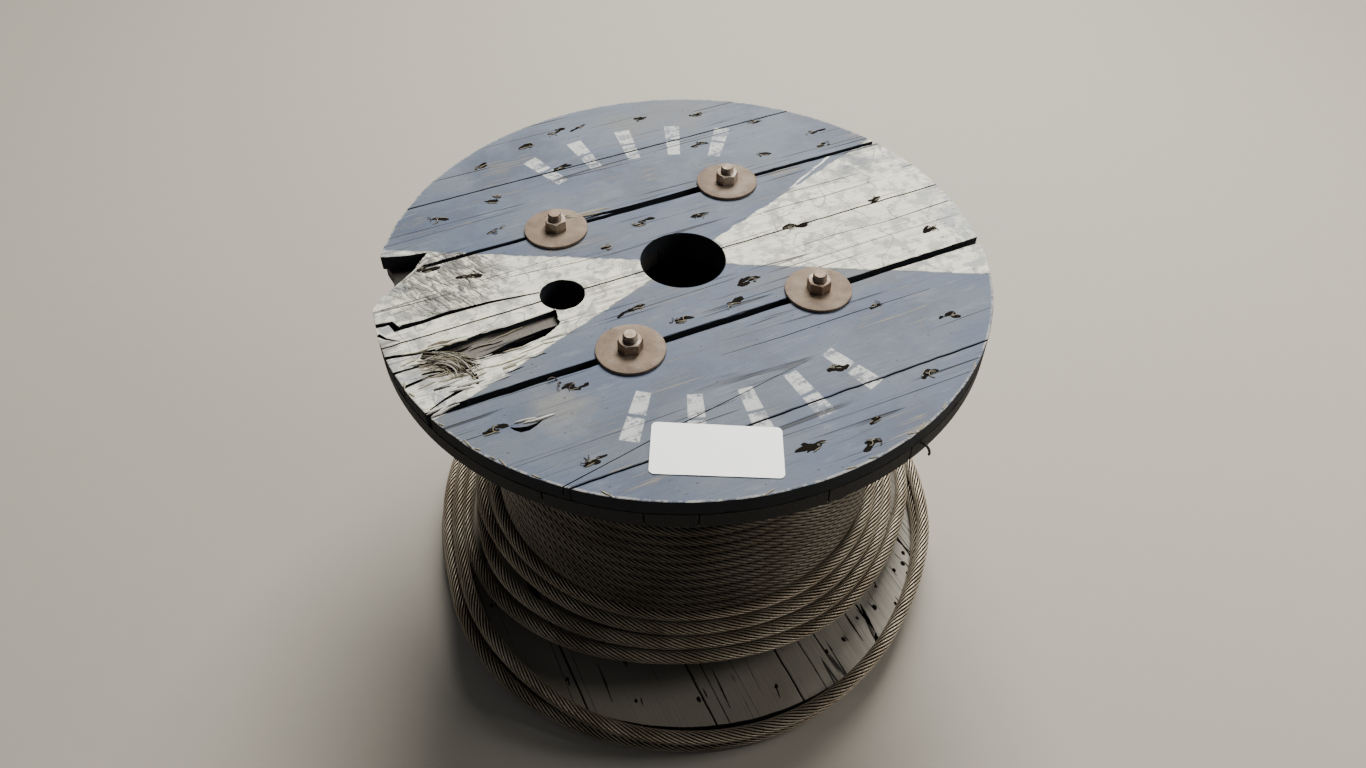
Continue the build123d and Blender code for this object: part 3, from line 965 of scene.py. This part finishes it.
white_slivers = (((-313, -30), (-298, 2), 3.5), ((-318, -38), (-309, -22), 2.5),
                 ((-252, -251), (-230, -226), 3.0), ((-246, -246), (-226, -230), 2.0),
                 ((-258, -246), (-240, -234), 2.4), ((-160, -258), (-128, -244), 3.4),
                 ((-168, -257), (-146, -249), 2.2), ((-232, -206), (-205, -196), 5.0),
                 ((-240, -214), (-214, -206), 4.0))
for start, end, width in white_slivers:
    sliver(slivers, (*start, 498.6), (*end, 498.6), width, 3)

# Two flakes that stand up by the rear left washer
sliver(flakes, (-154, 74, 503.2), (-87, 94, 500.5), 4.0, 2, -0.04)
sliver(flakes, (-146, 72, 503.2), (-101, 85, 500.5), 2.4, 2, -0.04)

piece("painted_slivers", slivers, sliver_finish)
piece("nail_heads", nails, nail_finish)
piece("gouges_painted_shade", gouges_painted_shade, hole_painted_shade)
piece("splinters", flakes, split_finish)

# Bent nail under the rim: a few straight lengths, then a hook
nail_azimuth = -47.5
nail_step = 0.0026
turn = math.radians(nail_azimuth)
heading = Vector((math.cos(turn), math.sin(turn), 0))
hinge = Vector((-heading.y, heading.x, 0))
root = (Matrix.Translation(polar(nail_azimuth, 350, 476)) @ Matrix.Rotation(turn, 4, "Z")
        @ Matrix.Rotation(math.pi / 2, 4, "Y"))
bm = bmesh.new()
bmesh.ops.create_circle(bm, cap_ends=True, segments=10, radius=0.0014, matrix=root)
end = bm.faces[:]
for count in range(9):
    made = bmesh.ops.extrude_face_region(bm, geom=end)["geom"]
    end = [item for item in made if isinstance(item, bmesh.types.BMFace)]
    tip = list(dict.fromkeys(vertex for face in end for vertex in face.verts))
    middle = sum((vertex.co for vertex in tip), Vector()) / len(tip)
    if count > 3:
        bend = Matrix.Rotation(math.radians(19), 3, hinge)
        heading = bend @ heading
        bmesh.ops.rotate(bm, cent=middle, matrix=bend, verts=tip)
    bmesh.ops.translate(bm, vec=heading * nail_step, verts=tip)
piece("bent_nail", bm, nail_finish, outwards=True)

# Blank label on the face, near the front, one corner lifting
bm = bmesh.new()
label_corners = ((-33, -321, 0), (97, -327, 0), (98, -263, 0), (-31, -255, 0))
label_left = -0.033
label_step = 0.0094
corners = [bm.verts.new(Vector(corner) / 1000) for corner in label_corners]
bm.faces.new(corners)
bmesh.ops.bevel(bm, geom=corners, offset=0.0055, segments=5, profile=0.5, affect="VERTICES", material=-1)
for number in range(1, 14):
    bmesh.ops.bisect_plane(bm, geom=bm.verts[:] + bm.edges[:] + bm.faces[:], plane_no=(1, 0, 0),
                           plane_co=(label_left + label_step * number, 0, 0))
for number in range(1, 7):
    bmesh.ops.bisect_plane(bm, geom=bm.verts[:] + bm.edges[:] + bm.faces[:], plane_no=(0.045, 1, 0),
                           plane_co=(0, -0.3225 + label_step * number, 0))
for vertex in bm.verts:
    right, up = (vertex.co.x - label_left) / 0.131, (vertex.co.y + 0.324) / 0.066
    lift = 0.0022 * max(0, right + up - 1.55) ** 2 + 0.0030 * max(0, 0.22 - right) ** 2 * (1.2 - up)
    vertex.co.z = top_face + 0.0009 + lift + 0.0003 * noise.noise(vertex.co * 40)
bmesh.ops.solidify(bm, geom=bm.faces[:], thickness=0.0003)
piece("blank_label", bm, label_finish, outwards=True)

# Floor and light
floor_gap = 0.0006
bm = bmesh.new()
bmesh.ops.create_grid(bm, x_segments=1, y_segments=1, size=6)
bmesh.ops.translate(bm, verts=bm.verts, vec=(0, 0, -floor_gap))
mesh = bpy.data.meshes.new("floor")
bm.to_mesh(mesh)
bm.free()
mesh.materials.append(plain_finish("floor", (0.41, 0.375, 0.32), 0.7, 0.05))
floor = bpy.data.objects.new("floor", mesh)
bpy.context.collection.objects.link(floor)

world = bpy.data.worlds.new("soft_light")
world.use_nodes = True
world.node_tree.nodes["Background"].inputs["Color"].default_value = (0.80, 0.84, 0.90, 1)
world.node_tree.nodes["Background"].inputs["Strength"].default_value = 0.10
bpy.context.scene.world = world


def soft_lamp(name, place, size, power, colour):
    lamp = bpy.data.lights.new(name, "AREA")
    lamp.size = size
    lamp.energy = power
    lamp.color = colour
    holder = bpy.data.objects.new(name, lamp)
    holder.location = place
    holder.rotation_euler = (Vector((0, 0, 0.3)) - Vector(place)).to_track_quat("-Z", "Y").to_euler()
    bpy.context.collection.objects.link(holder)


soft_lamp("key", (0.6, 2.45, 3.6), 2.4, 385, (1.0, 0.98, 0.93))
soft_lamp("side", (2.4, 0.1, 1.6), 1.0, 27, (1.0, 0.96, 0.90))
soft_lamp("front", (-2.4, -1.2, 1.5), 1.4, 2, (0.94, 0.96, 1.0))
